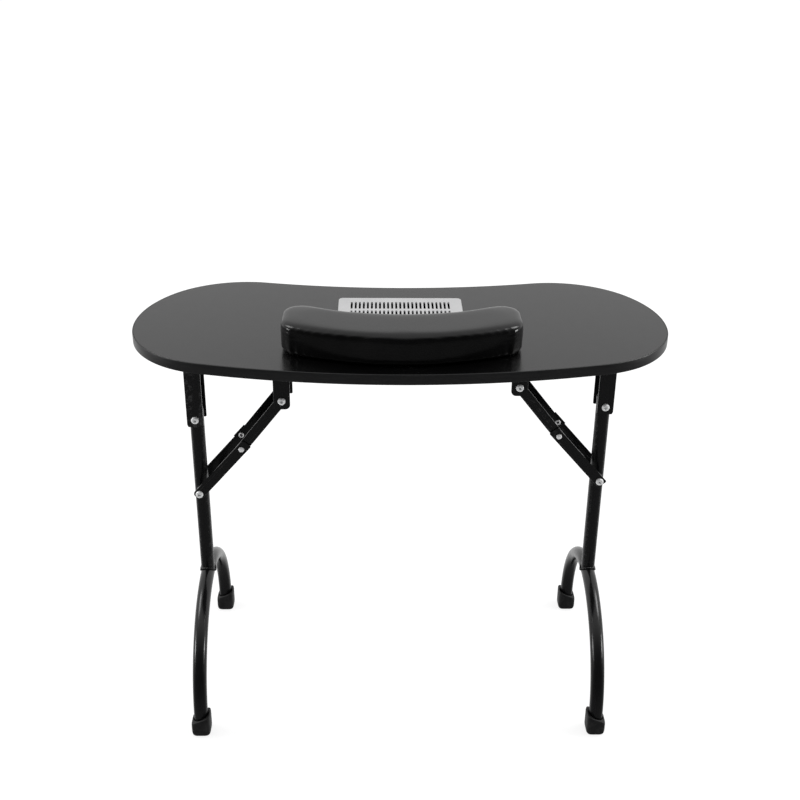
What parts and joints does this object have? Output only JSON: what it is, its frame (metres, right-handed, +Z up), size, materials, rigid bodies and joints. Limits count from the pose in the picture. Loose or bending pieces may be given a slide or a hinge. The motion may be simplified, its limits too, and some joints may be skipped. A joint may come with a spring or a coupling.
{
  "type": "folding manicure table",
  "caption": "Kidney-shaped folding nail table with a slotted dust-collector grille, a crescent wrist cushion and two arched legs that fold flat on locking braces.",
  "frame": {"origin": "on the floor, under the middle of the table's bounding box", "axes": "+X to the right of someone facing the cushion side, +Y away from them towards the technician's concave edge, +Z up"},
  "size_m": [0.9088, 0.416, 0.7753],
  "materials": {
    "laminate": "black melamine laminate on board, satin",
    "edge_band": "black PVC edge banding, satin",
    "silver_plastic": "silver-grey moulded plastic, satin",
    "black_plastic": "black moulded plastic, fine texture",
    "bag_cloth": "black filter cloth",
    "leather": "glossy black synthetic leather",
    "board_base": "plywood wrapped in the cushion's black synthetic leather",
    "tape": "black hook-and-loop tape",
    "black_paint": "semi-gloss black powder coat on steel",
    "rubber": "black moulded rubber, matt",
    "zinc": "bright zinc plate"
  },
  "bodies": {
    "table": {"tabletop_board": "laminate", "edge_band": "edge_band", "grille": "silver_plastic", "collector_housing": "black_plastic", "fan_frame": "black_plastic", "fan_motor": "black_plastic", "bag_collar": "black_plastic", "switch_bezel": "black_plastic", "power_inlet": "black_plastic", "dust_bag": "bag_cloth", "loop_tape_left": "tape", "loop_tape_right": "tape", "housing_screw_1": "zinc", "housing_screw_2": "zinc", "housing_screw_3": "zinc", "housing_screw_4": "zinc", "left_leg_bracket": "black_paint", "left_brace_top_bracket": "black_paint", "left_pivot_bolt": "zinc", "left_pivot_nut": "zinc", "left_top_pin_bolt": "zinc", "left_top_pin_nut": "zinc", "right_leg_bracket": "black_paint", "right_brace_top_bracket": "black_paint", "right_pivot_bolt": "zinc", "right_pivot_nut": "zinc", "right_top_pin_bolt": "zinc", "right_top_pin_nut": "zinc"},
    "left_leg": {"left_leg_post": "black_paint", "left_post_plug": "black_plastic", "left_foot_arch": "black_paint", "left_foot_front": "rubber", "left_foot_rear": "rubber", "left_leg_pin_bolt": "zinc", "left_leg_pin_nut": "zinc"},
    "left_lower_brace": {"left_brace_lower": "black_paint", "left_knee_rivet_front": "zinc", "left_knee_rivet_rear": "zinc"},
    "left_upper_brace": {"left_brace_upper": "black_paint", "left_stop_rivet": "zinc"},
    "right_leg": {"right_leg_post": "black_paint", "right_post_plug": "black_plastic", "right_foot_arch": "black_paint", "right_foot_front": "rubber", "right_foot_rear": "rubber", "right_leg_pin_bolt": "zinc", "right_leg_pin_nut": "zinc"},
    "right_lower_brace": {"right_brace_lower": "black_paint", "right_knee_rivet_front": "zinc", "right_knee_rivet_rear": "zinc"},
    "right_upper_brace": {"right_brace_upper": "black_paint", "right_stop_rivet": "zinc"},
    "cushion": {"cushion_pad": "leather", "cushion_base": "board_base", "hook_tape_left": "tape", "hook_tape_right": "tape"},
    "rotor": {"fan_rotor": "black_plastic"},
    "rocker": {"switch_rocker": "black_plastic"}
  },
  "joints": [
    {"name": "left_leg_fold", "type": "hinge", "parent": "table", "child": "left_leg", "pos_m": [-0.358, 0, 0.5492], "axis": [0, -1, 0], "range_deg": [0, 90]},
    {"name": "left_upper_brace_fold", "type": "hinge", "parent": "table", "child": "left_upper_brace", "pos_m": [-0.2049, 0, 0.5919], "axis": [0, 1, 0], "range_deg": [0, 54.3]},
    {"name": "left_lower_brace_fold", "type": "hinge", "parent": "left_leg", "child": "left_lower_brace", "pos_m": [-0.358, 0, 0.4056], "axis": [0, -1, 0], "range_deg": [0, 18]},
    {"name": "right_leg_fold", "type": "hinge", "parent": "table", "child": "right_leg", "pos_m": [0.358, 0, 0.5757], "axis": [0, 1, 0], "range_deg": [0, 90]},
    {"name": "right_upper_brace_fold", "type": "hinge", "parent": "table", "child": "right_upper_brace", "pos_m": [0.2049, 0, 0.6184], "axis": [0, -1, 0], "range_deg": [0, 54.3]},
    {"name": "right_lower_brace_fold", "type": "hinge", "parent": "right_leg", "child": "right_lower_brace", "pos_m": [0.358, 0, 0.4321], "axis": [0, 1, 0], "range_deg": [0, 18]},
    {"name": "cushion_lift", "type": "slide", "parent": "table", "child": "cushion", "axis": [0, 0, 1], "range_m": [0, 0.06]},
    {"name": "fan_spin", "type": "hinge", "parent": "table", "child": "rotor", "pos_m": [0, 0.0485, 0.6625], "axis": [0, 0, 1], "continuous": true},
    {"name": "switch_rock", "type": "hinge", "parent": "table", "child": "rocker", "pos_m": [0.06, 0.126, 0.6887], "axis": [0, 0, -1], "range_deg": [0, 16]}
  ],
  "couplings": [
    {"joint": "left_upper_brace_fold", "follows": "left_leg_fold", "ratio": 0.60225},
    {"joint": "left_lower_brace_fold", "follows": "left_leg_fold", "ratio": 0.19936},
    {"joint": "right_upper_brace_fold", "follows": "right_leg_fold", "ratio": 0.60225},
    {"joint": "right_lower_brace_fold", "follows": "right_leg_fold", "ratio": 0.19936}
  ]
}
